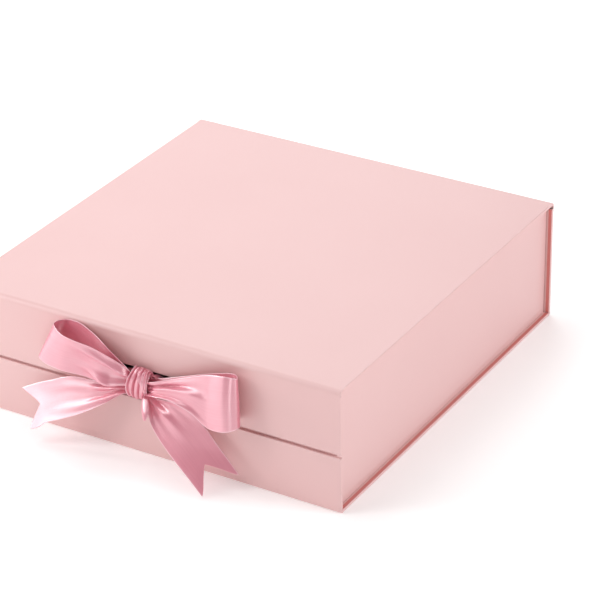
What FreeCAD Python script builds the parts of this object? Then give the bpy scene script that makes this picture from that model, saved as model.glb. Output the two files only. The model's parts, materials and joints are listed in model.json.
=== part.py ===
import FreeCAD, Part
import Sketcher
import math
import os

# Gift box: a wrap-around case of five covered boards, a tray with side walls set in from
# the case's edges, and a ribbon bow tied through a slot in the flap.
# Origin: centre of the case's footprint, on the surface the box stands on. +Z is up, the
# flap and the bow are on the -Y side, the spine is on the +Y side. Millimetres.

doc = FreeCAD.newDocument("GiftBox")
sheet = doc.addObject("Spreadsheet::Sheet", "Sizes")

SIZES = [
    ("case_width", 325.0, "side to side, over the wrap paper"),
    ("case_depth", 335.0, "flap face to spine face"),
    ("case_height", 100.0, "floor to the top of the lid"),
    ("board", 2.0, "thickness of the grey board"),
    ("paper", 0.25, "thickness of one sheet of cover paper"),
    ("ledge", 4.5, "how far the case stands out past the tray's side walls"),
    ("liner_margin", 3.0, "wrap paper left showing round each inner liner"),
    ("flap_height", 51.5, "top of the lid to the flap's lower edge"),
    ("flap_gap", 3.0, "flap's lower edge to the front panel's upper edge"),
    ("nose_radius", 4.0, "outside of the fold between lid and flap"),
    ("nose_groove", 0.5, "flat paper between that fold and each board"),
    ("spine_groove", 2.8, "flat paper between the lid's fold and the spine board"),
    ("lid_groove", 0.3, "flat paper between the lid's fold and the lid board"),
    ("flap_clearance", 0.4, "flap to tray"),
    ("lid_clearance", 0.3, "lid to tray"),
    ("spine_clearance", 0.6, "spine to tray"),
    ("slot_width", 45.0, "ribbon slot in the flap, side to side"),
    ("slot_height", 6.0, "ribbon slot in the flap, up and down"),
    ("slot_rise", 18.0, "flap's lower edge to the slot"),
    ("window_headroom", 6.0, "slot's top to the top of the relief window in the tray"),
    ("magnet_radius", 7.5, "closing magnet"),
    ("magnet_thickness", 1.5, "closing magnet"),
    ("magnet_offset", 105.0, "closing magnet to the middle of the box"),
    ("magnet_rise", 17.0, "flap's lower edge to a magnet's centre"),
    ("magnet_clearance", 0.1, "magnet to its pocket, all round"),
    ("ribbon_width", 38.0, "satin ribbon laid flat"),
    ("ribbon_thickness", 0.3, "satin ribbon behind the flap"),
    ("gather_width", 18.0, "ribbon where it is gathered through the slot"),
    ("gather_thickness", 1.6, "ribbon where it is gathered through the slot"),
    ("gather_reach", 0.8, "gathered ribbon standing out of the flap's face"),
    ("ribbon_clearance", 0.05, "ribbon to the flap it is threaded round"),
    ("knot_width", 18.0, "knot, side to side"),
    ("knot_depth", 10.0, "knot, front to back"),
    ("knot_tall", 30.0, "knot, up and down"),
    ("knot_rise", 13.0, "flap's lower edge to the knot's centre"),
    ("knot_clearance", 0.3, "knot to its neighbours"),
    ("loop_sheet", 0.8, "thickness of a loop's ribbon"),
    ("loop_radius", 11.0, "outside of a loop's rounded end"),
    ("loop_root_radius", 3.0, "outside of a loop where it meets the knot"),
    ("loop_left_reach", 66.0, "left loop, knot to its end"),
    ("loop_right_reach", 76.0, "right loop, knot to its end"),
    ("loop_root_tall", 14.0, "height of a loop where it meets the knot"),
    ("loop_spread", 42.0, "length over which a loop opens out to the ribbon's width"),
    ("loop_left_rise", 15.0, "degrees that the left loop tips up"),
    ("loop_right_rise", 8.0, "degrees that the right loop tips up"),
    ("tail_sheet", 0.8, "thickness of a tail's ribbon"),
    ("tail_root", 14.0, "width of a tail where it leaves the knot"),
    ("tail_spread", 24.0, "length over which a tail opens out"),
    ("tail_notch", 12.0, "depth of the swallowtail cut"),
    ("tail_drop", 3.0, "below the knot's lower end to where a tail starts"),
    ("tail_left_length", 90.0, "left tail, knot to its points"),
    ("tail_left_yaw", 184.0, "degrees, left tail"),
    ("tail_left_pitch", 17.0, "degrees that the left tail hangs down"),
    ("tail_left_roll", -58.0, "degrees, left tail's face"),
    ("tail_right_length", 80.0, "right tail, knot to its points"),
    ("tail_right_yaw", -12.0, "degrees, right tail"),
    ("tail_right_pitch", 22.0, "degrees that the right tail hangs down"),
    ("tail_right_roll", 41.0, "degrees, right tail's face"),
]
for row, (alias, value, note) in enumerate(SIZES, start=1):
    sheet.set(f"A{row}", alias)
    sheet.set(f"B{row}", str(value))
    sheet.set(f"C{row}", note)
    sheet.setAlias(f"B{row}", alias)
doc.recompute()


def size(alias):
    return f"Sizes.{alias}"


# ---- levels and planes worked out from the sizes, as expressions ----
HALF_WIDTH = f"({size('case_width')} / 2)"
HALF_DEPTH = f"({size('case_depth')} / 2)"
TOP = size("case_height")
PAPER = size("paper")
PANEL = f"({size('board')} + 2 * {PAPER})"
TRAY_FRONT = f"({PANEL} + {size('flap_clearance')} - {HALF_DEPTH})"
TRAY_BACK = f"({HALF_DEPTH} - {PANEL} - {size('spine_clearance')})"
TRAY_SIDE = f"({HALF_WIDTH} - {size('ledge')})"
TRAY_TOP = f"({TOP} - {PANEL} - {size('lid_clearance')})"
FRONT_FACE = f"({TRAY_FRONT} - {PANEL})"
FLAP_BOTTOM = f"({TOP} - {size('flap_height')})"
FRONT_TOP = f"({FLAP_BOTTOM} - {size('flap_gap')})"
SLOT_BOTTOM = f"({FLAP_BOTTOM} + {size('slot_rise')})"
SLOT_TOP = f"({SLOT_BOTTOM} + {size('slot_height')})"
SLOT_HALF = f"({size('slot_width')} / 2)"
WINDOW_TOP = f"({SLOT_TOP} + {size('window_headroom')})"
NOSE_Y = f"({size('nose_radius')} - {HALF_DEPTH})"
NOSE_Z = f"({TOP} - {size('nose_radius')})"
LID_AXIS_Y = f"({HALF_DEPTH} - {PANEL})"
LID_AXIS_Z = f"({TOP} - {PANEL})"
KNOT_Z = f"({FLAP_BOTTOM} + {size('knot_rise')})"
KNOT_BACK = f"(-{HALF_DEPTH} - {size('gather_reach')} - {size('knot_clearance')})"
TAIL_Y = f"({KNOT_BACK} - {size('knot_depth')})"


# ---- building blocks ----
def block(label, x, y, z):
    """A box between pairs of planes, each plane given as an expression."""
    solid = doc.addObject("Part::Box", label)
    solid.Label = label
    for edge, axis, (low, high) in (("Length", "x", x), ("Width", "y", y), ("Height", "z", z)):
        solid.setExpression(edge, f"({high}) - ({low})")
        solid.setExpression(f"Placement.Base.{axis}", f"{low}")
    return solid


def fuse(label, pieces):
    solid = doc.addObject("Part::MultiFuse", label)
    solid.Label = label
    solid.Shapes = pieces
    solid.Refine = True
    return solid


def cut(label, base, tool):
    solid = doc.addObject("Part::Cut", label)
    solid.Label = label
    solid.Base = base
    solid.Tool = tool
    return solid


def disc(label, radius, thickness, x, y, z):
    """A cylinder standing along Y, from y towards the spine."""
    solid = doc.addObject("Part::Cylinder", label)
    solid.Label = label
    solid.setExpression("Radius", radius)
    solid.setExpression("Height", thickness)
    solid.Placement.Rotation = FreeCAD.Rotation(FreeCAD.Vector(1, 0, 0), -90)
    for axis, place in (("x", x), ("y", y), ("z", z)):
        solid.setExpression(f"Placement.Base.{axis}", place)
    return solid


nodes = []


def keep(solid, label):
    """Name a finished sub-part; its label is also its file name."""
    solid.Label = label
    nodes.append(solid)
    return solid


# ---- covered boards of the case ----
class Panel:
    """One covered board: depth counts inwards from its outer face, run goes along it."""

    def __init__(self, name, normal, outer, inwards, run, folded_low=False, folded_high=False):
        self.name = name
        self.normal = normal
        self.outer = outer
        self.inwards = inwards
        self.run = run
        self.folded_low = folded_low
        self.folded_high = folded_high

    def layer(self, label, x, depth, run):
        near = f"{self.outer} + {self.inwards} * ({depth[0]})"
        far = f"{self.outer} + {self.inwards} * ({depth[1]})"
        through = (near, far) if self.inwards > 0 else (far, near)
        if self.normal == "y":
            return block(label, x, through, run)
        return block(label, x, run, through)

    def ends(self, low_inset, high_inset):
        low = f"{self.run[0]} + {low_inset}" if self.folded_low else self.run[0]
        high = f"{self.run[1]} - {high_inset}" if self.folded_high else self.run[1]
        return low, high

    def board(self):
        x = (f"{PAPER} - {HALF_WIDTH}", f"{HALF_WIDTH} - {PAPER}")
        depth = (PAPER, f"{PAPER} + {size('board')}")
        return self.layer(f"{self.name}_core", x, depth, self.ends(PAPER, PAPER))

    def wrap(self):
        """Cover paper: outer face, both side edges, any free edge, and the turned-in rim."""
        name = self.name
        full = (f"-{HALF_WIDTH}", HALF_WIDTH)
        skin = ("0", PAPER)
        edge = ("0", PANEL)
        rim = (f"{PANEL} - {PAPER}", PANEL)
        margin = size("liner_margin")
        sheets = [self.layer(f"{name}_face", full, skin, self.run)]
        for side, turned in (("left", -1), ("right", 1)):
            outer = (f"-{HALF_WIDTH}", f"{PAPER} - {HALF_WIDTH}")
            inner = (f"-{HALF_WIDTH}", f"{margin} - {HALF_WIDTH}")
            if turned > 0:
                outer = (f"{HALF_WIDTH} - {PAPER}", HALF_WIDTH)
                inner = (f"{HALF_WIDTH} - {margin}", HALF_WIDTH)
            sheets.append(self.layer(f"{name}_{side}_edge", outer, edge, self.run))
            sheets.append(self.layer(f"{name}_{side}_rim", inner, rim, self.run))
        if self.folded_low:
            low = self.run[0]
            sheets.append(self.layer(f"{name}_low_edge", full, edge, (low, f"{low} + {PAPER}")))
            sheets.append(self.layer(f"{name}_low_rim", full, rim, (low, f"{low} + {margin}")))
        if self.folded_high:
            high = self.run[1]
            sheets.append(self.layer(f"{name}_high_edge", full, edge, (f"{high} - {PAPER}", high)))
            sheets.append(self.layer(f"{name}_high_rim", full, rim, (f"{high} - {margin}", high)))
        return fuse(f"{name}_sheets", sheets)

    def liner(self):
        margin = size("liner_margin")
        x = (f"{margin} - {HALF_WIDTH}", f"{HALF_WIDTH} - {margin}")
        rim = (f"{PANEL} - {PAPER}", PANEL)
        return self.layer(f"{self.name}_lining", x, rim, self.ends(margin, margin))


front = Panel("front", "y", FRONT_FACE, 1, (PANEL, FRONT_TOP), folded_high=True)
base = Panel("base", "z", "0", 1, (f"{FRONT_FACE} + {PANEL}", f"{HALF_DEPTH} - {PANEL}"))
spine_top = f"{LID_AXIS_Z} - {size('spine_groove')}"
spine = Panel("spine", "y", HALF_DEPTH, -1, (PANEL, spine_top))
lid_run = (f"{NOSE_Y} + {size('nose_groove')}", f"{LID_AXIS_Y} - {size('lid_groove')}")
lid = Panel("lid", "z", TOP, -1, lid_run)
flap_run = (FLAP_BOTTOM, f"{NOSE_Z} - {size('nose_groove')}")
flap = Panel("flap", "y", f"(-{HALF_DEPTH})", 1, flap_run, folded_low=True)

for panel in (front, base, spine, lid):
    keep(panel.board(), f"{panel.name}_board")
    keep(panel.wrap(), f"{panel.name}_wrap")
    keep(panel.liner(), f"{panel.name}_liner")


# ---- flap: the same layers, cut through by the ribbon slot ----
def slot_tool(label):
    reach = f"2 * {PANEL}"
    y = (f"-{HALF_DEPTH} - {reach}", f"-{HALF_DEPTH} + {reach}")
    return block(label, (f"-{SLOT_HALF}", SLOT_HALF), y, (SLOT_BOTTOM, SLOT_TOP))


MAGNET_Z = f"({FLAP_BOTTOM} + {size('magnet_rise')})"
MAGNET_POCKET = f"({size('magnet_radius')} + {size('magnet_clearance')})"
FLAP_POCKET_Y = f"(-{HALF_DEPTH} + {PANEL} - {PAPER} - {size('magnet_thickness')})"
TRAY_POCKET_Y = f"({TRAY_FRONT} + {PAPER})"
MAGNET_SIDES = (("left", f"-{size('magnet_offset')}"), ("right", size("magnet_offset")))


def pockets(label, y):
    """Two round pockets for the closing magnets, as one cutting tool."""
    holes = []
    for side, x in MAGNET_SIDES:
        hole = disc(f"{label}_{side}", MAGNET_POCKET, size("magnet_thickness"), x, y, MAGNET_Z)
        holes.append(hole)
    return fuse(label, holes)


slotted = cut("flap_slotted", flap.board(), slot_tool("flap_board_slot"))
keep(cut("flap_pocketed", slotted, pockets("flap_pockets", FLAP_POCKET_Y)), "flap_board")
keep(cut("flap_wrap_cut", flap.wrap(), slot_tool("flap_wrap_slot")), "flap_wrap")
keep(cut("flap_liner_cut", flap.liner(), slot_tool("flap_liner_slot")), "flap_liner")


# ---- paper folds that join the covered boards ----
def fold(label, centre_y, centre_z, radius, quarter):
    """A quarter round of doubled paper; quarter counts 90 degree steps from +Y towards +Z."""
    sheet_thickness = f"2 * {PAPER}"
    tubes = []
    for name, rim in (("outside", radius), ("inside", f"{radius} - {sheet_thickness}")):
        tube = doc.addObject("Part::Cylinder", f"{label}_{name}")
        tube.setExpression("Radius", rim)
        tube.setExpression("Height", size("case_width"))
        tube.Angle = 90
        along_x, along_y, along_z = FreeCAD.Vector(1, 0, 0), FreeCAD.Vector(0, 1, 0), FreeCAD.Vector(0, 0, 1)
        upright = FreeCAD.Rotation(along_y, along_z, along_x, "ZXY")
        turn = FreeCAD.Rotation(along_x, 90 * quarter)
        tube.Placement.Rotation = turn.multiply(upright)
        tube.setExpression("Placement.Base.x", f"-{HALF_WIDTH}")
        tube.setExpression("Placement.Base.y", centre_y)
        tube.setExpression("Placement.Base.z", centre_z)
        tubes.append(tube)
    return cut(f"{label}_round", tubes[0], tubes[1])


def strip(label, y, z):
    return block(label, (f"-{HALF_WIDTH}", HALF_WIDTH), y, z)


DOUBLED = f"(2 * {PAPER})"
keep(fold("front_fold", f"{FRONT_FACE} + {PANEL}", PANEL, PANEL, 2), "front_base_fold")
keep(fold("back_fold", f"{HALF_DEPTH} - {PANEL}", PANEL, PANEL, 3), "base_spine_fold")

lid_round = fold("lid_fold", LID_AXIS_Y, LID_AXIS_Z, PANEL, 0)
lid_down = strip("lid_fold_down", (f"{HALF_DEPTH} - {DOUBLED}", HALF_DEPTH), (spine_top, LID_AXIS_Z))
lid_over = strip("lid_fold_over", (lid_run[1], LID_AXIS_Y), (f"{TOP} - {DOUBLED}", TOP))
keep(fuse("lid_fold_strip", [lid_round, lid_down, lid_over]), "lid_hinge")

nose_round = fold("nose_fold", NOSE_Y, NOSE_Z, size("nose_radius"), 1)
nose_down = strip("nose_fold_down", (f"-{HALF_DEPTH}", f"{DOUBLED} - {HALF_DEPTH}"), (flap_run[1], NOSE_Z))
nose_over = strip("nose_fold_over", (NOSE_Y, lid_run[0]), (f"{TOP} - {DOUBLED}", TOP))
keep(fuse("nose_fold_strip", [nose_round, nose_down, nose_over]), "flap_hinge")

# ---- tray: five boards, an outer cover and an inner lining ----
TRAY_FLOOR = f"({PANEL} + {PAPER})"
WALL_TOP = f"({TRAY_TOP} - {PAPER})"
WALL = size("board")
side_outer = f"({TRAY_SIDE} - {PAPER})"
side_inner = f"({TRAY_SIDE} - {PAPER} - {WALL})"
front_outer = f"({TRAY_FRONT} + {PAPER})"
front_inner = f"({TRAY_FRONT} + {PAPER} + {WALL})"
back_outer = f"({TRAY_BACK} - {PAPER})"
back_inner = f"({TRAY_BACK} - {PAPER} - {WALL})"
wall_run = (TRAY_FLOOR, WALL_TOP)
full_width = (f"-{side_outer}", side_outer)


def window_tool(label):
    """Relief window behind the ribbon: from the front panel's top to above the slot."""
    y = (f"{TRAY_FRONT} - {PANEL}", f"{TRAY_FRONT} + 2 * {PANEL}")
    return block(label, (f"-{SLOT_HALF}", SLOT_HALF), y, (FRONT_TOP, WINDOW_TOP))


front_wall = block("tray_front_blank", full_width, (front_outer, front_inner), wall_run)
front_wall = cut("tray_front_open", front_wall, window_tool("wall_window"))
keep(cut("tray_front_pocketed", front_wall, pockets("tray_pockets", TRAY_POCKET_Y)), "tray_front_wall")
keep(block("tray_back_blank", full_width, (back_inner, back_outer), wall_run), "tray_back_wall")
between = (front_inner, back_inner)
keep(block("tray_left_blank", (f"-{side_outer}", f"-{side_inner}"), between, wall_run), "tray_left_wall")
keep(block("tray_right_blank", (side_inner, side_outer), between, wall_run), "tray_right_wall")
floor_run = (TRAY_FLOOR, f"{TRAY_FLOOR} + {WALL}")
keep(block("tray_floor_blank", (f"-{side_inner}", side_inner), between, floor_run), "tray_bottom")


def ring(label, outer_x, outer_y, inner_x, inner_y, z, reach):
    """An upright frame: a block with a hole that runs past it by reach at each end."""
    solid = block(f"{label}_solid", outer_x, outer_y, z)
    hole = block(f"{label}_hole", inner_x, inner_y, (f"{z[0]} - {reach}", f"{z[1]} + {reach}"))
    return cut(f"{label}_ring", solid, hole)


outside_x = (f"-{TRAY_SIDE}", TRAY_SIDE)
outside_y = (TRAY_FRONT, TRAY_BACK)
shell_x = (f"-{side_outer}", side_outer)
shell_y = (front_outer, back_outer)
inside_x = (f"-{side_inner}", side_inner)
inside_y = (front_inner, back_inner)
lined_x = (f"{PAPER} - {side_inner}", f"{side_inner} - {PAPER}")
lined_y = (f"{front_inner} + {PAPER}", f"{back_inner} - {PAPER}")
rim_bottom = f"({WALL_TOP} - {size('liner_margin')})"
under_margin = f"{WALL} + {size('liner_margin')}"
under_x = (f"{under_margin} - {side_outer}", f"{side_outer} - {under_margin}")
under_y = (f"{front_outer} + {under_margin}", f"{back_outer} - {under_margin}")

cover = fuse("tray_cover_sheets", [
    ring("cover_walls", outside_x, outside_y, shell_x, shell_y, (PANEL, TRAY_TOP), PAPER),
    ring("cover_top", outside_x, outside_y, lined_x, lined_y, (WALL_TOP, TRAY_TOP), PAPER),
    ring("cover_rim", inside_x, inside_y, lined_x, lined_y, (rim_bottom, TRAY_TOP), PAPER),
    ring("cover_under", outside_x, outside_y, under_x, under_y, (PANEL, TRAY_FLOOR), PAPER),
])
keep(cut("tray_cover_open", cover, window_tool("cover_window")), "tray_wrap")

lining_bottom = floor_run[1]
lining = fuse("tray_lining_sheets", [
    ring("lining_walls", inside_x, inside_y, lined_x, lined_y, (lining_bottom, rim_bottom), PAPER),
    block("lining_floor", inside_x, inside_y, (lining_bottom, f"{lining_bottom} + {PAPER}")),
])
keep(cut("tray_lining_open", lining, window_tool("lining_window")), "tray_liner")

# ---- closing magnets, two in the flap and two in the tray's front wall ----
for side, x in MAGNET_SIDES:
    for owner, y in (("flap", FLAP_POCKET_Y), ("tray", TRAY_POCKET_Y)):
        name = f"{owner}_magnet_{side}"
        keep(disc(f"{name}_disc", size("magnet_radius"), size("magnet_thickness"), x, y, MAGNET_Z), name)

# ---- ribbon strap: down behind the flap, gathered through the slot and under the edge ----
GAP = size("ribbon_clearance")
flap_inside = f"({PANEL} - {HALF_DEPTH})"
strap_y = (f"{flap_inside} + {GAP}", f"{flap_inside} + {GAP} + {size('ribbon_thickness')}")
strap_half = f"({size('ribbon_width')} / 2)"
gather_half = f"({size('gather_width')} / 2)"
gather_y = (f"-{HALF_DEPTH} - {size('gather_reach')}", strap_y[1])
strap_low = f"({FLAP_BOTTOM} - {GAP} - {size('gather_thickness')})"
strap_high = f"({SLOT_BOTTOM} + {GAP} + {size('gather_thickness')})"
strap_x = (f"-{strap_half}", strap_half)
gather_x = (f"-{gather_half}", gather_half)
strap = fuse("ribbon_strap_parts", [
    block("strap_back", strap_x, strap_y, (strap_low, strap_high)),
    block("strap_under", gather_x, gather_y, (strap_low, f"{FLAP_BOTTOM} - {GAP}")),
    block("strap_through", gather_x, gather_y, (f"{SLOT_BOTTOM} + {GAP}", strap_high)),
])
keep(strap, "ribbon_strap")

# ---- knot ----
knot = doc.addObject("Part::Ellipsoid", "knot_round")
knot.setExpression("Radius1", f"{size('knot_tall')} / 2")
knot.setExpression("Radius2", f"{size('knot_width')} / 2")
knot.setExpression("Radius3", f"{size('knot_depth')} / 2")
KNOT_Y = f"({KNOT_BACK} - {size('knot_depth')} / 2)"
knot.setExpression("Placement.Base.y", KNOT_Y)
knot.setExpression("Placement.Base.z", KNOT_Z)
keep(knot, "ribbon_knot")


# ---- loops and tails: sketched ribbon solids ----
def origin_plane(body, role):
    return [feature for feature in body.Origin.OriginFeatures if feature.Role == role][0]


def sketched_body(label):
    body = doc.addObject("PartDesign::Body", f"{label}_body")
    outline = body.newObject("Sketcher::SketchObject", f"{label}_outline")
    outline.AttachmentSupport = (origin_plane(body, "XY_Plane"), "")
    outline.MapMode = "FlatFace"
    return body, outline


def place(body, x, y, z, yaw, pitch, roll):
    body.setExpression("Placement", f"placement(vector({x}; {y}; {z}); rotation({yaw}; {pitch}; {roll}))")


def bind(outline, number, name, expression):
    outline.renameConstraint(number, name)
    outline.setExpression(f"Constraints.{name}", expression)


def add_belt(outline, reach, inset):
    """The line round two circles, inset by a sheet thickness: arcs joined by tangent lines."""
    from_root = doc.Sizes.loop_root_radius - inset
    from_end = doc.Sizes.loop_radius - inset
    centre = reach - doc.Sizes.loop_radius
    root_centre = doc.Sizes.loop_root_radius
    lean = math.asin((from_end - from_root) / (centre - root_centre))
    side = math.pi / 2 + lean
    normal = FreeCAD.Vector(0, 0, 1)
    root = Part.Circle(FreeCAD.Vector(root_centre, 0, 0), normal, from_root)
    end = Part.Circle(FreeCAD.Vector(centre, 0, 0), normal, from_end)
    root_arc = outline.addGeometry(Part.ArcOfCircle(root, side, 2 * math.pi - side), False)
    end_arc = outline.addGeometry(Part.ArcOfCircle(end, -side, side), False)
    sides = []
    for sign in (1, -1):
        unit = FreeCAD.Vector(math.cos(side), sign * math.sin(side), 0)
        start = FreeCAD.Vector(root_centre, 0, 0) + unit * from_root
        stop = FreeCAD.Vector(centre, 0, 0) + unit * from_end
        sides.append(outline.addGeometry(Part.LineSegment(start, stop), False))
    upper, lower = sides
    outline.addConstraint(Sketcher.Constraint("Tangent", upper, 1, root_arc, 1))
    outline.addConstraint(Sketcher.Constraint("Tangent", upper, 2, end_arc, 2))
    outline.addConstraint(Sketcher.Constraint("Tangent", lower, 1, root_arc, 2))
    outline.addConstraint(Sketcher.Constraint("Tangent", lower, 2, end_arc, 1))
    outline.addConstraint(Sketcher.Constraint("PointOnObject", root_arc, 3, -1))
    outline.addConstraint(Sketcher.Constraint("PointOnObject", end_arc, 3, -1))
    return root_arc, end_arc


def taper_loop(body, label):
    """Cut the loop's upper and lower edges back towards the knot."""
    wedges = body.newObject("Sketcher::SketchObject", f"{label}_taper")
    wedges.AttachmentSupport = (origin_plane(body, "XZ_Plane"), "")
    wedges.MapMode = "FlatFace"
    root = doc.Sizes.loop_root_tall / 2
    edge = doc.Sizes.ribbon_width / 2
    spread = doc.Sizes.loop_spread
    before = -doc.Sizes.loop_radius
    root_line = f"{size('loop_root_tall')} / 2"
    edge_line = f"{size('ribbon_width')} / 2 + {size('loop_sheet')}"
    for sign, name in ((1, "upper"), (-1, "lower")):
        first = wedges.GeometryCount
        places = [
            (before, root, f"-{size('loop_radius')}", root_line),
            (0.0, root, "0", root_line),
            (spread, edge, size("loop_spread"), edge_line),
            (before, edge, f"-{size('loop_radius')}", edge_line),
        ]
        corners = [FreeCAD.Vector(across, sign * up, 0) for across, up, _, _ in places]
        count = len(corners)
        for number, corner in enumerate(corners):
            wedges.addGeometry(Part.LineSegment(corner, corners[(number + 1) % count]), False)
        for number, (across, up, across_line, up_line) in enumerate(places):
            this, following = first + number, first + (number + 1) % count
            wedges.addConstraint(Sketcher.Constraint("Coincident", this, 2, following, 1))
            index = wedges.addConstraint(Sketcher.Constraint("DistanceX", -1, 1, this, 1, across))
            bind(wedges, index, f"{name}_across_{number}", across_line)
            index = wedges.addConstraint(Sketcher.Constraint("DistanceY", -1, 1, this, 1, sign * up))
            bind(wedges, index, f"{name}_up_{number}", up_line if sign > 0 else f"-({up_line})")
    doc.recompute()
    trim = body.newObject("PartDesign::Pocket", f"{label}_trim")
    trim.Profile = wedges
    trim.Midplane = True
    trim.setExpression("Length", f"4 * {size('loop_radius')}")


def make_loop(side, yaw, x):
    """A loop: a flat hollow teardrop of ribbon, as tall as the ribbon is wide."""
    label = f"ribbon_loop_{side}"
    reach = size(f"loop_{side}_reach")
    rise = size(f"loop_{side}_rise")
    body, outline = sketched_body(label)
    for prefix, inset in (("outer", 0.0), ("inner", doc.Sizes.loop_sheet)):
        thinner = f"- {size('loop_sheet')}" if inset else ""
        root_arc, end_arc = add_belt(outline, doc.Sizes.get(f"loop_{side}_reach"), inset)
        number = outline.addConstraint(
            Sketcher.Constraint("Radius", root_arc, outline.Geometry[root_arc].Radius))
        bind(outline, number, f"{prefix}_root", f"{size('loop_root_radius')} {thinner}")
        number = outline.addConstraint(
            Sketcher.Constraint("Radius", end_arc, outline.Geometry[end_arc].Radius))
        bind(outline, number, f"{prefix}_end", f"{size('loop_radius')} {thinner}")
        number = outline.addConstraint(
            Sketcher.Constraint("DistanceX", -1, 1, root_arc, 3, outline.Geometry[root_arc].Center.x))
        bind(outline, number, f"{prefix}_root_place", size("loop_root_radius"))
        number = outline.addConstraint(
            Sketcher.Constraint("DistanceX", -1, 1, end_arc, 3, outline.Geometry[end_arc].Center.x))
        bind(outline, number, f"{prefix}_end_place", f"{reach} - {size('loop_radius')}")
    doc.recompute()
    ribbon = body.newObject("PartDesign::Pad", f"{label}_ribbon")
    ribbon.Profile = outline
    ribbon.Midplane = True
    ribbon.setExpression("Length", size("ribbon_width"))
    taper_loop(body, label)
    y = f"-{HALF_DEPTH} - {size('gather_reach')} - {size('loop_radius')}"
    place(body, x, y, KNOT_Z, yaw, f"-{rise}", "0")
    return keep(body, label)


def make_tail(side, x, y, z):
    """A tail: a flat ribbon that opens out from the knot to a swallowtail end."""
    label = f"ribbon_tail_{side}"
    length = size(f"tail_{side}_length")
    body, outline = sketched_body(label)
    half_root = doc.Sizes.tail_root / 2
    half = doc.Sizes.ribbon_width / 2
    spread = doc.Sizes.tail_spread
    end = doc.Sizes.get(f"tail_{side}_length")
    notch = end - doc.Sizes.tail_notch
    points = [
        (0, -half_root),
        (spread, -half),
        (end, -half),
        (notch, 0),
        (end, half),
        (spread, half),
        (0, half_root),
    ]
    corners = [FreeCAD.Vector(px, py, 0) for px, py in points]
    count = len(corners)
    for number, corner in enumerate(corners):
        outline.addGeometry(Part.LineSegment(corner, corners[(number + 1) % count]), False)
    for number in range(count):
        outline.addConstraint(Sketcher.Constraint("Coincident", number, 2, (number + 1) % count, 1))
    half_width = f"{size('ribbon_width')} / 2"
    where = [
        ("0", f"-{size('tail_root')} / 2"),
        (size("tail_spread"), f"-{half_width}"),
        (length, f"-{half_width}"),
        (f"{length} - {size('tail_notch')}", "0"),
        (length, half_width),
        (size("tail_spread"), half_width),
        ("0", f"{size('tail_root')} / 2"),
    ]
    for number, (px, py) in enumerate(where):
        across, along = points[number]
        for kind, value, expression in (("DistanceX", across, px), ("DistanceY", along, py)):
            index = outline.addConstraint(Sketcher.Constraint(kind, -1, 1, number, 1, float(value)))
            bind(outline, index, f"{kind}_{number}", expression)
    doc.recompute()
    ribbon = body.newObject("PartDesign::Pad", f"{label}_ribbon")
    ribbon.Profile = outline
    ribbon.Midplane = True
    ribbon.setExpression("Length", size("tail_sheet"))
    turn = [size(f"tail_{side}_{angle}") for angle in ("yaw", "pitch", "roll")]
    place(body, x, y, z, *turn)
    return keep(body, label)


beside = f"({size('knot_width')} / 2 + {size('knot_clearance')})"
make_loop("left", "180", f"-{beside}")
make_loop("right", "0", beside)

tail_half_root = f"{size('tail_root')} / 2"
tail_z = f"{KNOT_Z} - {size('knot_tall')} / 2 - {size('tail_drop')}"
make_tail("left", f"-{tail_half_root}", TAIL_Y, tail_z)
make_tail("right", tail_half_root, TAIL_Y, tail_z)

# ---- check every object, then write each sub-part ----
doc.recompute()
for thing in doc.Objects:
    for problem in ("Invalid", "Error"):
        if problem in thing.State:
            raise RuntimeError(f"{thing.Label} is {thing.State}")

os.makedirs("parts", exist_ok=True)
for node in nodes:
    shape = node.Shape
    if shape.isNull() or not shape.isValid() or len(shape.Solids) != 1:
        raise RuntimeError(f"{node.Label} has no single valid solid")
    shape.exportStep(f"parts/{node.Label}.step")
    print(f"{node.Label:20s} {shape.Volume:12.1f} {shape.BoundBox}")
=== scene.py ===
# %% [markdown]
# # A magnetic gift box with a satin bow
# The box is a book-style rigid box: grey board panels wrapped in pale pink paper, hinged on two
# paper folds, with a tray inside and a satin ribbon tied through a slot in the closing flap.
# The hard panels come ready made from the CAD frame. This lesson gives them their paper, makes
# the paper folds, and models the soft bow. All lengths are in metres.

# %% Load the frame
import json
import math

import bmesh
import bpy
from mathutils import Matrix, Vector, noise


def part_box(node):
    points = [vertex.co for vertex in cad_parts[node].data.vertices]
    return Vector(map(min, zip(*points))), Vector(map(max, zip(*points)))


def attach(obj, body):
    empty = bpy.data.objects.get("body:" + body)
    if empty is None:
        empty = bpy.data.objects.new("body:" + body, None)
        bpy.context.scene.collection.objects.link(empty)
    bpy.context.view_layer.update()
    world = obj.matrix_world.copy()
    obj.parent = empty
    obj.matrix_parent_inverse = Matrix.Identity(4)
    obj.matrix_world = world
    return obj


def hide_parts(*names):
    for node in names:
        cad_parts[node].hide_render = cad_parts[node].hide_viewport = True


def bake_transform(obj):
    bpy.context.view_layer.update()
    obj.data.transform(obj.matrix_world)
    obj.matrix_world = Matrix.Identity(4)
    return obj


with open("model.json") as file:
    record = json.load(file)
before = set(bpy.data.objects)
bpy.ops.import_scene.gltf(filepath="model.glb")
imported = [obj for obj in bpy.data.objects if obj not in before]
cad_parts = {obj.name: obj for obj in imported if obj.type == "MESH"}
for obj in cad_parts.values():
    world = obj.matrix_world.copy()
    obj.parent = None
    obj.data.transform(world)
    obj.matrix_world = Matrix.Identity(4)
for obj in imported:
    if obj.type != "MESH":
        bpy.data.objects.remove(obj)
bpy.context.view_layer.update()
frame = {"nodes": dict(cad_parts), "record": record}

MM = 0.001

# %% [markdown]
# ## Places to build from
# The bow is tied on the flap's face, so every ribbon point is given from that face: x to the
# right, `out` away from the face towards the viewer, and z up from the table. The helper turns
# those three numbers, in millimetres, into a point of the shared frame.

# %% Landmarks of the box
flap_cover_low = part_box("flap_wrap")[0]
FLAP_FACE = flap_cover_low.y


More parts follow.
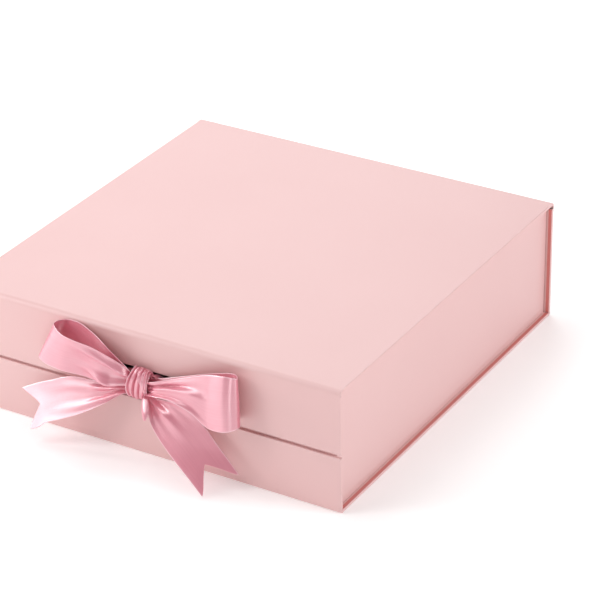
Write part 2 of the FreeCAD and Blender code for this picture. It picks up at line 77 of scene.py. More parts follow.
def on_flap(x, out, z):
    """A point in front of the flap's face; x, out and z are in millimetres."""
    return Vector((x * MM, FLAP_FACE - out * MM, z * MM))


print("flap face at y", round(FLAP_FACE, 4))


# %% [markdown]
# ## Small tools
# Blender's operators work on whatever is selected, and loading the frame leaves the CAD nodes
# selected. So each step starts by clearing the selection, then makes one object active.

# %% Selecting and finishing
def only(obj):
    """Selects obj alone and makes it active."""
    bpy.ops.object.select_all(action="DESELECT")
    obj.select_set(True)
    bpy.context.view_layer.objects.active = obj
    return obj


def apply_modifiers(obj):
    """Applies each modifier of obj in turn."""
    only(obj)
    for modifier in list(obj.modifiers):
        bpy.ops.object.modifier_apply(modifier=modifier.name)
    return obj


def smooth(obj, degrees=40):
    """Smooth shading that keeps edges sharper than this angle."""
    only(obj)
    bpy.ops.object.shade_smooth_by_angle(angle=math.radians(degrees))
    return obj


# %% [markdown]
# ## Material tools
# A material is a small tree of nodes. These helpers add a node with its settings and join two
# sockets, so that each finish below reads as a short list.

# %% Node helpers
def add_node(tree, kind, **settings):
    """A new node of that kind with its properties set."""
    node = tree.nodes.new(kind)
    for key, value in settings.items():
        setattr(node, key, value)
    return node


def join(tree, source, target):
    """Links one node's output to another node's input."""
    tree.links.new(source, target)


def new_material(name, colour, roughness):
    """A Principled material; returns it with its tree and its shader."""
    material = bpy.data.materials.new(name)
    material.use_nodes = True
    tree = material.node_tree
    shader = tree.nodes["Principled BSDF"]
    shader.inputs["Base Color"].default_value = (*colour, 1)
    shader.inputs["Roughness"].default_value = roughness
    material.diffuse_color = (*colour, 1)
    return material, tree, shader


def new_group(name, inputs, outputs):
    """A shader node group with named sockets and its two end nodes."""
    group = bpy.data.node_groups.new(name, "ShaderNodeTree")
    for label, kind, value in inputs:
        item = group.interface.new_socket(label, in_out="INPUT", socket_type=kind)
        if value is not None:
            item.default_value = value
    for label, kind in outputs:
        group.interface.new_socket(label, in_out="OUTPUT", socket_type=kind)
    start = group.nodes.new("NodeGroupInput")
    end = group.nodes.new("NodeGroupOutput")
    return group, start, end


# %% [markdown]
# ## Paper grain, shared by every paper
# Covering paper is never quite even: short fibres roughen it, small flecks break up its gloss, and
# slow clouds of tone drift across a sheet. A scanned texture could show that, but it would need
# unwrapping. So one node group makes all three from object coordinates, and each paper mixes in
# as much as it needs.

# %% The paper grain group
FIBRES_PER_METRE = 900.0
CLOUDS_PER_METRE = 9.0
FIBRE_STRETCH = (1.0, 0.35, 1.0)


def paper_grain_group():
    """Fibre height, tone clouds and gloss flecks, from object coordinates."""
    group, start, end = new_group(
        "paper_grain",
        [
            ("Vector", "NodeSocketVector", None),
            ("Fibre", "NodeSocketFloat", FIBRES_PER_METRE),
            ("Cloud", "NodeSocketFloat", CLOUDS_PER_METRE),
        ],
        [("Height", "NodeSocketFloat"), ("Clouds", "NodeSocketFloat"), ("Flecks", "NodeSocketFloat")],
    )
    fibres = add_node(group, "ShaderNodeTexNoise")
    fibres.inputs["Detail"].default_value = 6
    fibres.inputs["Roughness"].default_value = 0.62
    clouds = add_node(group, "ShaderNodeTexNoise")
    clouds.inputs["Detail"].default_value = 2
    flecks = add_node(group, "ShaderNodeTexVoronoi", feature="F1")
    stretch = add_node(group, "ShaderNodeMapping")
    stretch.inputs["Scale"].default_value = FIBRE_STRETCH
    join(group, start.outputs["Vector"], stretch.inputs["Vector"])
    join(group, stretch.outputs["Vector"], fibres.inputs["Vector"])
    join(group, start.outputs["Fibre"], fibres.inputs["Scale"])
    join(group, start.outputs["Vector"], clouds.inputs["Vector"])
    join(group, start.outputs["Cloud"], clouds.inputs["Scale"])
    join(group, stretch.outputs["Vector"], flecks.inputs["Vector"])
    join(group, start.outputs["Fibre"], flecks.inputs["Scale"])
    join(group, fibres.outputs["Fac"], end.inputs["Height"])
    join(group, clouds.outputs["Fac"], end.inputs["Clouds"])
    join(group, flecks.outputs["Distance"], end.inputs["Flecks"])
    return group


PAPER_GRAIN = paper_grain_group()
print("paper grain nodes", len(PAPER_GRAIN.nodes))


# %% [markdown]
# ## The paper finishes
# The cover is a matt laminated paper, so it is smooth, with a soft broad gloss. The paper turned in
# to the narrow joints along the base and the spine is painted a deeper, duller coral, as painted
# shade for those joints. The lining is the cover's pink without the lamination, and the board inside
# is plain grey. One
# function makes all four: the clouds vary the colour, the flecks the gloss and the fibres the bump.

# %% Cover, painted-shade joint paper, lining and board
TONE_BAND = (0.3, 0.7)
GLOSS_DRIFT = (-0.04, 0.05)
FIBRE_HEIGHT = 0.1 * MM


def tone_ramp(tree, mask, deep, pale):
    """A colour that runs from deep to pale as the mask rises."""
    tone = add_node(tree, "ShaderNodeValToRGB")
    for element, position, colour in zip(tone.color_ramp.elements, TONE_BAND, (deep, pale)):
        element.position = position
        element.color = (*colour, 1)
    join(tree, mask, tone.inputs["Fac"])
    return tone.outputs["Color"]


def drifting_gloss(tree, mask, shader, least, most):
    """Roughness that runs from least to most with the mask."""
    gloss = add_node(tree, "ShaderNodeMapRange")
    gloss.inputs["To Min"].default_value = least
    gloss.inputs["To Max"].default_value = most
    join(tree, mask, gloss.inputs["Value"])
    join(tree, gloss.outputs["Result"], shader.inputs["Roughness"])


def fine_relief(tree, height, shader, strength, distance):
    """A bump of that strength and distance."""
    relief = add_node(tree, "ShaderNodeBump")
    relief.inputs["Strength"].default_value = strength
    relief.inputs["Distance"].default_value = distance
    join(tree, height, relief.inputs["Height"])
    join(tree, relief.outputs["Normal"], shader.inputs["Normal"])


def paper(name, pale, deep, roughness, bump, fibre, gloss_level=0.5):
    """A paper whose tone, gloss and surface drift a little; fibre is per metre."""
    material, tree, shader = new_material(name, pale, roughness)
    shader.inputs["Specular IOR Level"].default_value = gloss_level
    place = add_node(tree, "ShaderNodeTexCoord")
    grain = add_node(tree, "ShaderNodeGroup", node_tree=PAPER_GRAIN)
    grain.inputs["Fibre"].default_value = fibre
    join(tree, place.outputs["Object"], grain.inputs["Vector"])
    join(tree, tone_ramp(tree, grain.outputs["Clouds"], deep, pale), shader.inputs["Base Color"])
    least, most = (roughness + drift for drift in GLOSS_DRIFT)
    drifting_gloss(tree, grain.outputs["Flecks"], shader, least, most)
    fine_relief(tree, grain.outputs["Height"], shader, bump, FIBRE_HEIGHT)
    return material


COVER = paper("cover_paper", (0.775, 0.49, 0.482), (0.76, 0.475, 0.467), 0.44, 0.22, 1100, 0.85)
# The joint paper's deep, dull coral is painted shade for the narrow joints where the pink paper lies
# in shadow.
JOINT_PAINTED_SHADE = paper("joint_painted_shade_paper", (0.70, 0.245, 0.225), (0.68, 0.225, 0.205), 0.6, 0.3, 1000)
LINING = paper("lining_paper", (0.80, 0.52, 0.50), (0.77, 0.49, 0.47), 0.62, 0.35, 900)
BOARD = paper("grey_board", (0.28, 0.265, 0.24), (0.22, 0.205, 0.185), 0.85, 0.6, 500)
print("papers", [finish.name for finish in (COVER, JOINT_PAINTED_SHADE, LINING, BOARD)])


# %% [markdown]
# ## Nickel for the magnets
# Two pairs of thin plated discs hold the flap shut. They hide under the paper, so a plain plated
# metal is enough, and noise in its gloss stands for the fine marks.

# %% Nickel plate
MARKS_PER_METRE = 700
NICKEL_GLOSS = (0.2, 0.4)


def nickel():
    """Plated metal whose gloss varies with fine marks."""
    material, tree, shader = new_material("nickel_plate", (0.62, 0.61, 0.59), 0.28)
    shader.inputs["Metallic"].default_value = 1.0
    place = add_node(tree, "ShaderNodeTexCoord")
    marks = add_node(tree, "ShaderNodeTexNoise")
    marks.inputs["Scale"].default_value = MARKS_PER_METRE
    join(tree, place.outputs["Object"], marks.inputs["Vector"])
    drifting_gloss(tree, marks.outputs["Fac"], shader, *NICKEL_GLOSS)
    return material


NICKEL = nickel()
print("metal", NICKEL.name)

# %% [markdown]
# ## The satin's weave
# Satin shows long warp floats along the ribbon, and it has a firm woven edge on both sides. The
# weave follows the ribbon, not the room, so this group is fed each ribbon's own UV map, laid out
# in metres: u along the ribbon, v across it. Sine waves make the threads, because they are even.

# %% The satin weave group
RIBBON_WIDTH = 38 * MM
WARP_PER_METRE = 3200
WEFT_PER_METRE = 1400
WEFT_HEIGHT = 0.35
EDGE_LOOPS_PER_METRE = 650
EDGE_HEIGHT = 2.5
EDGE_WIDTH = 0.8 * MM
STREAKS_PER_METRE = (22, 900, 1)


def satin_weave_group():
    """Thread height, a mask of the woven edges and streaks along the ribbon."""
    group, start, end = new_group(
        "satin_weave",
        [("Vector", "NodeSocketVector", None), ("Width", "NodeSocketFloat", RIBBON_WIDTH)],
        [("Height", "NodeSocketFloat"), ("Edge", "NodeSocketFloat"), ("Streaks", "NodeSocketFloat")],
    )
    split = add_node(group, "ShaderNodeSeparateXYZ")
    join(group, start.outputs["Vector"], split.inputs["Vector"])

    def sine(source, per_metre):
        """A wave along that coordinate."""
        turns = add_node(group, "ShaderNodeMath", operation="MULTIPLY")
        turns.inputs[1].default_value = per_metre * 2 * math.pi
        join(group, source, turns.inputs[0])
        wave = add_node(group, "ShaderNodeMath", operation="SINE")
        join(group, turns.outputs[0], wave.inputs[0])
        return wave.outputs[0]

    warp = sine(split.outputs["Y"], WARP_PER_METRE)
    weft = sine(split.outputs["X"], WEFT_PER_METRE)
    weave = add_node(group, "ShaderNodeMath", operation="MULTIPLY_ADD")
    weave.inputs[1].default_value = WEFT_HEIGHT
    join(group, weft, weave.inputs[0])
    join(group, warp, weave.inputs[2])

    middle = add_node(group, "ShaderNodeMath", operation="MULTIPLY_ADD")
    middle.inputs[1].default_value = 0.5
    middle.inputs[2].default_value = -EDGE_WIDTH
    join(group, start.outputs["Width"], middle.inputs[0])
    across = add_node(group, "ShaderNodeMath", operation="ABSOLUTE")
    join(group, split.outputs["Y"], across.inputs[0])
    edge = add_node(group, "ShaderNodeMath", operation="GREATER_THAN")
    join(group, across.outputs[0], edge.inputs[0])
    join(group, middle.outputs[0], edge.inputs[1])
    loops = sine(split.outputs["X"], EDGE_LOOPS_PER_METRE)
    loops_on_edge = add_node(group, "ShaderNodeMath", operation="MULTIPLY")
    join(group, loops, loops_on_edge.inputs[0])
    join(group, edge.outputs[0], loops_on_edge.inputs[1])
    height = add_node(group, "ShaderNodeMath", operation="MULTIPLY_ADD")
    height.inputs[1].default_value = EDGE_HEIGHT
    join(group, loops_on_edge.outputs[0], height.inputs[0])
    join(group, weave.outputs[0], height.inputs[2])

    stretch = add_node(group, "ShaderNodeMapping")
    stretch.inputs["Scale"].default_value = STREAKS_PER_METRE
    join(group, start.outputs["Vector"], stretch.inputs["Vector"])
    streaks = add_node(group, "ShaderNodeTexNoise")
    streaks.inputs["Scale"].default_value = 1.0
    streaks.inputs["Detail"].default_value = 3
    join(group, stretch.outputs["Vector"], streaks.inputs["Vector"])
    join(group, height.outputs[0], end.inputs["Height"])
    join(group, edge.outputs[0], end.inputs["Edge"])
    join(group, streaks.outputs["Fac"], end.inputs["Streaks"])
    return group


SATIN_WEAVE = satin_weave_group()
print("satin weave nodes", len(SATIN_WEAVE.nodes))


# %% [markdown]
# ## The satin's shine
# Smooth threads that all run one way shine in broad soft bands across them. A plain gloss would
# make round spots, so the shader is anisotropic and takes its thread direction from the UV map.
# Sheen brightens it where it turns away, and the woven edge is a paler pink than the middle.

# %% The satin finish
SATIN_SHINE = {
    "Sheen Weight": 0.35,
    "Sheen Roughness": 0.4,
    "Sheen Tint": (1.0, 0.86, 0.9, 1),
    "IOR": 2.3,
    "Specular IOR Level": 1.0,
    "Metallic": 0.08,
    "Anisotropic": 0.8,
    "Anisotropic Rotation": 0.25,
}
SATIN_DEEP = (0.74, 0.165, 0.25)
SATIN_PALE = (0.80, 0.215, 0.30)
EDGE_PINK = (0.88, 0.42, 0.50, 1)
SATIN_GLOSS = (0.27, 0.35)
THREAD_RELIEF = 0.18
THREAD_HEIGHT = 0.04 * MM


def satin():
    """Woven satin that follows each piece's UV map, named ribbon."""
    material, tree, shader = new_material("satin_ribbon", (0.80, 0.26, 0.34), 0.3)
    for socket, value in SATIN_SHINE.items():
        shader.inputs[socket].default_value = value
    threads = add_node(tree, "ShaderNodeTangent", direction_type="UV_MAP", uv_map="ribbon")
    join(tree, threads.outputs["Tangent"], shader.inputs["Tangent"])
    place = add_node(tree, "ShaderNodeUVMap", uv_map="ribbon")
    weave = add_node(tree, "ShaderNodeGroup", node_tree=SATIN_WEAVE)
    join(tree, place.outputs["UV"], weave.inputs["Vector"])
    tone = tone_ramp(tree, weave.outputs["Streaks"], SATIN_DEEP, SATIN_PALE)
    selvedge = add_node(tree, "ShaderNodeMix", data_type="RGBA")
    factor, middle_colour, edge_colour, result = 0, 6, 7, 2
    selvedge.inputs[edge_colour].default_value = EDGE_PINK
    join(tree, weave.outputs["Edge"], selvedge.inputs[factor])
    join(tree, tone, selvedge.inputs[middle_colour])
    join(tree, selvedge.outputs[result], shader.inputs["Base Color"])
    drifting_gloss(tree, weave.outputs["Streaks"], shader, *SATIN_GLOSS)
    fine_relief(tree, weave.outputs["Height"], shader, THREAD_RELIEF, THREAD_HEIGHT)
    return material


SATIN = satin()
print("cloth", SATIN.name)

# %% [markdown]
# ## Dress the CAD panels
# The hard panels keep their CAD shape. Each node's record says which finish its slot takes, so
# one loop puts the detailed material in place of the plain one.

# %% Assign the finishes
FINISH = {"cover_paper": COVER, "lining_paper": LINING, "grey_board": BOARD, "nickel_plate": NICKEL}
for subpart in frame["record"]["subparts"]:
    material = FINISH.get(subpart.get("material_slot") or subpart.get("material"))
    node = frame["nodes"].get(subpart.get("node") or subpart.get("name"))
    if material and node:
        for slot in node.material_slots:
            slot.material = material
        if not node.material_slots:
            node.data.materials.append(material)
        print(node.name, "->", material.name)


# %% [markdown]
# ## Soft edges on the covered panels
# Paper pulled round a board never makes a knife edge. A bevel on every edge would open gaps where
# covers meet, so the visible covers are copies of their CAD nodes, merged into clean faces, with
# only the outside edges rounded by half a millimetre. The CAD nodes stay as they are, and each
# copy stands for its node. On the base and the spine, the face that looks into the joint takes
# the turned-in paper in a deeper coral, which is painted shade for the narrow joint, and weighted
# normals keep the flat faces evenly lit.

# %% Rounded covers
EDGE_ROUND = 0.5 * MM
ROUND_STEPS = 4
TOUCH = 0.02 * MM
SAME_POINT = 0.001 * MM
FLAT_ANGLE = math.radians(1)
FACING = 0.9


def on_outside(point, low, high):
    """How many faces of the node's box this point lies on."""
    return sum(abs(point[k] - low[k]) < TOUCH or abs(point[k] - high[k]) < TOUCH for k in range(3))


def soft_cover(name, node, body, painted_shade_facing=None):
    """A copy of the node with round outside edges; faces that look the given way get the coral paper
    painted as joint shade.
    """
    low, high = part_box(node)
    cover = bpy.data.objects.new(name, frame["nodes"][node].data.copy())
    bpy.context.scene.collection.objects.link(cover)
    only(cover)
    bpy.ops.object.mode_set(mode="EDIT")
    bpy.ops.mesh.select_all(action="SELECT")
    bpy.ops.mesh.remove_doubles(threshold=SAME_POINT)
    bpy.ops.mesh.dissolve_limited(angle_limit=FLAT_ANGLE)
    bpy.ops.mesh.select_all(action="DESELECT")
    edit = bmesh.from_edit_mesh(cover.data)
    for edge in edit.edges:
        ends = [on_outside(v.co, low, high) for v in edge.verts]
        middle = (edge.verts[0].co + edge.verts[1].co) / 2
        edge.select_set(min(ends) >= 2 and on_outside(middle, low, high) >= 2)
    bmesh.update_edit_mesh(cover.data)
    bpy.ops.mesh.bevel(offset=EDGE_ROUND, segments=ROUND_STEPS, affect="EDGES")
    bpy.ops.object.mode_set(mode="OBJECT")
    for face in cover.data.polygons:
        # Faces that look into the joint take the coral paper, which is painted shade.
        face.material_index = int(painted_shade_facing.dot(face.normal) > FACING) if painted_shade_facing else 0
    if painted_shade_facing:
        cover.data.materials.append(JOINT_PAINTED_SHADE)
    smooth(cover, degrees=50)
    even = cover.modifiers.new("even", "WEIGHTED_NORMAL")
    even.keep_sharp = True
    apply_modifiers(cover)
    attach(cover, body)
    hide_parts(node)
    print(name, len(cover.data.polygons), "faces")
    return cover


UPWARDS = Vector((0, 0, 1))
FORWARDS = Vector((0, -1, 0))
# The base's upward faces and the spine's forward faces get the coral painted shade of the joints.
for node, body, painted_shade_facing in (
    ("lid_wrap", "lid", None), ("flap_wrap", "flap", None), ("front_wrap", "case", None),
    ("base_wrap", "case", UPWARDS), ("spine_wrap", "case", FORWARDS), ("tray_wrap", "case", None),
):
    soft_cover(node.replace("_wrap", "_cover"), node, body, painted_shade_facing)


# %% [markdown]
# ## The section of a paper fold
# Where two panels meet, the cover paper rolls round the board edges in a quarter round and laps
# on to each panel. A bent grid would be a bare sheet and could show a gap, so each fold is a
# closed outline: the paper outside, a little proud of the panels, and the board's corner filled
# in behind the round. It is worked out in y and z, because every fold runs along x.

# %% The folds' section
FOLD_LAP = 5 * MM
FOLD_PROUD = 0.03 * MM
PAPER = 0.25 * MM
LAP_POINTS = (1, 0.5, 0.03)


def fold_section(centre, radius, from_angle, lap, steps=14):
    """A closed outline (y, z): a lap, a quarter round, a lap, and back along the inside."""
    first, last = math.radians(from_angle), math.radians(from_angle + 90)
    into = Vector((math.sin(first), -math.cos(first)))
    onto = Vector((-math.sin(last), math.cos(last)))
    middle = Vector(centre)

    def arc(angle, reach):
        """The point at that angle and distance from the centre."""
        return middle + Vector((math.cos(angle), math.sin(angle))) * reach

    outer, inner = radius + FOLD_PROUD, radius - PAPER
    outline = [arc(first, outer) + into * lap * k for k in LAP_POINTS]
    outline += [arc(first + (last - first) * i / steps, outer) for i in range(steps + 1)]
    outline += [arc(last, outer) + onto * lap * k for k in reversed(LAP_POINTS)]
    outline += [arc(last, inner) + onto * lap, arc(last, inner), middle]
    outline += [arc(first, inner), arc(first, inner) + into * lap]
    return outline


# %% [markdown]
# ## The paper folds
# The lid turns on a paper fold at the spine, and the flap turns on one at the lid's front edge.
# Two small folds that never move join the base to the front and to the spine. Each starts as a
# cylinder with one side per corner of the section, and its two rings of vertices are moved on to
# the section at both ends.

# %% The folds
def paper_fold(name, node, section):
    """A solid bar along x with that section, made from a cylinder's two rings of vertices."""
    low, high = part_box(node)
    corners = len(section)
    bpy.ops.object.select_all(action="DESELECT")
    bpy.ops.mesh.primitive_cylinder_add(vertices=corners, radius=1, depth=2, end_fill_type="NGON")
    fold = bpy.context.object
    fold.name = name
    for vertex in fold.data.vertices:
        corner = round(math.atan2(vertex.co.x, vertex.co.y) / (2 * math.pi) * corners) % corners
        y, z = section[corner]
        vertex.co = (low.x if vertex.co.z < 0 else high.x, y, z)
    only(fold)
    bpy.ops.object.mode_set(mode="EDIT")
    bpy.ops.mesh.select_all(action="SELECT")
    bpy.ops.mesh.normals_make_consistent(inside=False)
    bpy.ops.object.mode_set(mode="OBJECT")
    fold.data.materials.clear()
    fold.data.materials.append(COVER)
    smooth(fold)
    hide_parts(node)
    print(name, len(fold.data.polygons), "faces")
    return fold


NOSE_RADIUS = 4 * MM
FOOT_LAP = 0.4 * MM
lid_low, lid_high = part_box("lid_hinge")
nose_low, nose_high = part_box("flap_hinge")
spine_radius = lid_high.y - lid_low.y
lid_fold = paper_fold(
    "lid_fold", "lid_hinge",
    fold_section((lid_high.y - spine_radius, lid_high.z - spine_radius), spine_radius, 0, FOLD_LAP),
)
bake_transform(lid_fold)
flap_fold = paper_fold(
    "flap_fold", "flap_hinge",
    fold_section((nose_low.y + NOSE_RADIUS, nose_high.z - NOSE_RADIUS), NOSE_RADIUS, 90, FOLD_LAP),
)
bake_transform(flap_fold)

foot_low, foot_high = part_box("front_base_fold")
heel_low, heel_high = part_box("base_spine_fold")
foot_radius = foot_high.z - foot_low.z
front_fold = paper_fold(
    "front_fold", "front_base_fold",
    fold_section((foot_high.y, foot_high.z), foot_radius, 180, FOOT_LAP),
)
back_fold = paper_fold(
    "back_fold", "base_spine_fold",
    fold_section((heel_low.y, heel_high.z), foot_radius, 270, FOOT_LAP),
)
for fold in (front_fold, back_fold):
    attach(fold, "case")


# %% [markdown]
# ## How a ribbon is shaped
# A ribbon is a flat strip, so each part of the bow starts as a flat grid with a UV map in metres.
# A cloth simulation could drape it but wouldn't tie the bow. Two rails, the strip's upper and
# lower edges, say where it runs instead. Between the rails the strip can belly out, and close to
# the knot it is gathered in pleats that fade away as it spreads. A smooth curve through the
# stations keeps it flowing like cloth.

# %% A smooth curve
def flow(values, t):
    """A smooth curve through the values at t from 0 to 1 (Catmull-Rom)."""
    last = len(values) - 1
    place = min(max(t, 0.0), 1.0) * last
    i = min(int(place), last - 1)
    s = place - i
    a, b, c, d = (values[min(max(i + k, 0), last)] for k in (-1, 0, 1, 2))
    return (b * 2 + (c - a) * s + (a * 2 - b * 5 + c * 4 - d) * s * s
            + (b * 3 - a - c * 3 + d) * s * s * s) * 0.5


print("halfway through 0, 1, 4, 9", flow([0, 1, 4, 9], 0.5))


# %% [markdown]
# ## From stations to cloth
# Pleats in gathered satin are never all alike, so a second, narrower wave out of step with the
# first breaks them up, and slow noise crumples the strip a little. A dent is a soft round hollow.
# Solidify gives the cloth its thickness, and one level of Subdivision Surface smooths it.

# %% Ribbon helper
FLOW_STEP = 0.004
SECOND_PLEAT = 0.45
SECOND_PLEAT_RATE = 1.9
CRUMPLES_PER_METRE = 55
CRUMPLES_ACROSS = 1.4
SEED_STEP = 7


def ribbon(
    name, stations, length, columns=120, rows=28, pleats=3.0, notch=0.0,
    thickness=0.35, crumple=0.25, seed=1.0, dents=(),
):
    """A strip of satin through the stations.

    A station is (upper edge, lower edge, belly, pleat depth); edges are (x, out, z).
    A dent is (place along, place across, length, width, depth) of a soft hollow.
    Places along run from 0 to 1, places across from -1 at the lower edge to 1 at the upper.
    Stations, thickness, crumple and a dent's depth are in millimetres, length and notch in metres.
    """
    bpy.ops.object.select_all(action="DESELECT")
    bpy.ops.mesh.primitive_grid_add(x_subdivisions=columns, y_subdivisions=rows, size=1)
    strip = bpy.context.object
    strip.name = name
    upper = [on_flap(*s[0]) for s in stations]
    lower = [on_flap(*s[1]) for s in stations]
    belly = [s[2] * MM for s in stations]
    depth = [s[3] * MM for s in stations]
    mesh = strip.data
    mesh.uv_layers[0].name = "ribbon"
    flat = [(v.co.x + 0.5, v.co.y * 2) for v in mesh.vertices]
    for loop, uv in zip(mesh.loops, mesh.uv_layers["ribbon"].data):
        t, across = flat[loop.vertex_index]
        uv.uv = (t * length, across * RIBBON_WIDTH / 2)
    for vertex, (t, across) in zip(mesh.vertices, flat):
        t = t * (1 - notch * (1 - abs(across)) / length)
        top, bottom = flow(upper, t), flow(lower, t)
        before = (flow(upper, t - FLOW_STEP) + flow(lower, t - FLOW_STEP)) / 2
        after = (flow(upper, t + FLOW_STEP) + flow(lower, t + FLOW_STEP)) / 2
        span = top - bottom
        normal = (after - before).cross(span).normalized()
        point = (top + bottom) / 2 + span * (across / 2)
        turn = math.pi * pleats * across
        pleat = math.cos(turn) + SECOND_PLEAT * math.cos(turn * SECOND_PLEAT_RATE + seed)
        place = (t * length * CRUMPLES_PER_METRE, across * CRUMPLES_ACROSS, seed * SEED_STEP)
        wander = noise.noise(Vector(place))
        offset = flow(belly, t) * (1 - across * across) + flow(depth, t) * pleat
        offset += crumple * MM * wander
        for along, side, long, wide, deep in dents:
            offset -= deep * MM * math.exp(-((t - along) / long) ** 2 - ((across - side) / wide) ** 2)
        vertex.co = point + normal * offset
    body = strip.modifiers.new("thickness", "SOLIDIFY")
    body.thickness = thickness * MM
    body.offset = 0
    finer = strip.modifiers.new("finer", "SUBSURF")
    finer.levels = finer.render_levels = 1
    apply_modifiers(strip)
    mesh.materials.clear()
    mesh.materials.append(SATIN)
    only(strip)
    bpy.ops.object.shade_smooth()
    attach(strip, "flap")
    print(name, len(mesh.polygons), "faces")
    return strip


# %% [markdown]
# ## The left loop
# One length of ribbon leaves the knot, swells forward, turns round at the far end and comes back
# flat against the flap. It tilts upwards, and its front leans out at the top, so it stands open
# like a cup and shows the deeper pink inside.

# %% Left loop
loop_left = ribbon("bow_loop_left", [
    ((-5, 7, 69), (-5, 7, 57), 0.0, 0.9),
    ((-11, 12.5, 78), (-11, 8.5, 57.5), 0.5, 1.4),
    ((-28.5, 20.5, 90), (-25, 10, 56), 1.0, 1.4),
    ((-42.5, 24, 95.4), (-43.5, 13, 60.5), 1.5, 0.5),
    ((-54, 23, 97.3), (-61, 17.5, 63.1), 1.0, 0.0),
    ((-62.8, 18.3, 97.8), (-77.5, 15.3, 63.6), 0.0, 0.0),
    ((-68.5, 12, 98.4), (-86.6, 9.6, 64.6), 0.0, 0.0),
    ((-65.5, 3, 97.6), (-79, 3, 63.5), 0.0, 0.0),
    ((-53.5, 2.5, 98.2), (-60, 5, 62), 0.0, 0.2),
    ((-39.5, 5, 94.2), (-42, 8, 61), 0.0, 0.2),
    ((-23, 9.5, 87.3), (-25, 10, 60), 0.0, 0.3),
    ((-9, 9, 77), (-11, 8, 59), 0.0, 0.7),
    ((-5, 6, 69), (-5, 6, 57), 0.0, 0.8),
], length=0.162, pleats=2.0, seed=2.0, dents=[
    (0.155, -0.35, 0.055, 0.42, 7.0),
    (0.09, 0.55, 0.04, 0.2, 2.0),
])
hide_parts("ribbon_loop_left")

# %% [markdown]
# ## The right loop
# The right loop lies lower. Close to the knot it is pinched narrow, then it opens to its full
# width and ends in a clean upright turn.

# %% Right loop
loop_right = ribbon("bow_loop_right", [
    ((5, 7, 68), (5, 7, 57), 0.0, 1.2),
    ((12.6, 11, 71), (16, 14, 61.8), 1.0, 1.4),
    ((28.8, 9.5, 76.8), (33.7, 16.5, 63.7), 1.5, 1.1),
    ((46.4, 9.5, 84.4), (49.5, 17, 59.9), 2.0, 0.7),
    ((61.8, 10, 90.4), (63.9, 17.5, 51.2), 2.0, 0.2),
    ((76.7, 13.8, 95.1), (80.8, 21.5, 54.4), 1.0, 0.0),
    ((84.4, 9.2, 93.4), (88.2, 13, 56.2), 0.3, 0.0),
    ((78, 2.5, 92), (79, 3, 54), 0.0, 0.0),
    ((61, 1.2, 87), (63, 1.2, 52), 0.0, 0.0),
    ((42, 1.5, 80), (44, 1.5, 54), 0.0, 0.4),
    ((22, 3.5, 73), (24, 3.5, 57), 0.0, 1.1),
    ((5, 4, 68), (5, 4, 57), 0.0, 1.2),
], length=0.174, pleats=2.0, seed=5.0, dents=[
    (0.075, 0.05, 0.03, 0.3, 5.0),
    (0.19, 0.4, 0.07, 0.16, 2.5),
])
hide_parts("ribbon_loop_right")

# %% [markdown]
# ## The tails
# The two ends hang from under the knot, spread to full width and finish in swallow-tail cuts.
# The left one lies back and faces up, the right one falls forward to the table. A notch could be
# cut with a Boolean, but that would break up the grid, so the strip's middle stops short instead.

# %% Left tail
tail_left = ribbon("bow_tail_left", [
    ((-4, 7, 60), (-4, 7, 53), 0.0, 0.6),
    ((-14, 8.5, 60), (-14, 9, 52), 0.0, 2.0),
    ((-28, 8.5, 57), (-27, 14, 43.5), 0.5, 1.9),
    ((-44, 8, 56), (-44, 20, 33), 1.0, 0.5),
    ((-60, 8, 54), (-59, 24, 26), 1.0, 0.2),
    ((-76, 8.5, 47), (-72, 26, 20), 0.5, 0.0),
    ((-91, 9, 40), (-77, 28, 16), 0.0, 0.0),
    ((-104, 10, 33), (-84, 29, 12.5), 0.0, 0.0),
], length=0.098, pleats=2.0, notch=0.017, seed=9.0)
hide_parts("ribbon_tail_left")

# %% Right tail
tail_right = ribbon("bow_tail_right", [
    ((8, 7, 60), (5, 7, 54), 0.0, 0.6),
    ((18, 8.5, 58), (9, 10, 48), 0.5, 1.9),
    ((33, 9, 58.5), (14, 14, 38), 1.2, 1.2),
    ((47, 9, 53), (22, 17, 29), 1.0, 0.4),
    ((58, 9.5, 44.5), (33, 21, 21.5), 0.5, 0.0),
    ((68, 10.5, 34), (45, 25, 15), 0.0, 0.0),
    ((77, 11, 25), (56, 28.5, 9), 0.0, 0.0),
    ((86, 12, 16), (67, 32, 2.5), 0.0, 0.0),
], length=0.087, pleats=2.0, notch=0.019, seed=13.0, dents=[(0.2, 0.1, 0.12, 0.35, 3.0)])
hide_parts("ribbon_tail_right")

# %% [markdown]
# ## The tuck
# Beside the knot, one edge of the gathered ribbon shows as a small fold over the right tail. It
# is too small for the pleats of the tail to make, so it is a short narrow strip of its own.

# %% Tuck
tuck = ribbon("bow_tuck", [
    ((7.5, 8, 58.5), (3.5, 8, 57.5), 0.3, 0.0),
    ((11.5, 13, 53), (5, 12.5, 51.5), 1.4, 0.0),
    ((14, 17, 48.5), (7.5, 16.5, 46.5), 1.6, 0.0),
    ((13, 20, 43.5), (11, 20, 43), 0.3, 0.0),
], length=0.020, columns=24, rows=10, pleats=1.0, crumple=0.1, seed=4.0)


# %% [markdown]
# ## The knot
# The knot is the ribbon's own middle, wrapped once round the gathered loops. Pulled tight, it
# creases lengthways. A ball or a tube would have no creases, so it is a short wide strip that
# runs round an upright oval with close pleats.

# %% Knot
KNOT_CENTRE = (0.5, 6.3, 64.0)
KNOT_HALF_WIDTH = 8.6
KNOT_RADII = (4.9, 11.2)
KNOT_LEAN = 2.0
KNOT_WAIST = 0.28
KNOT_BELLY = 0.8
KNOT_PLEAT_DEPTH = 1.18


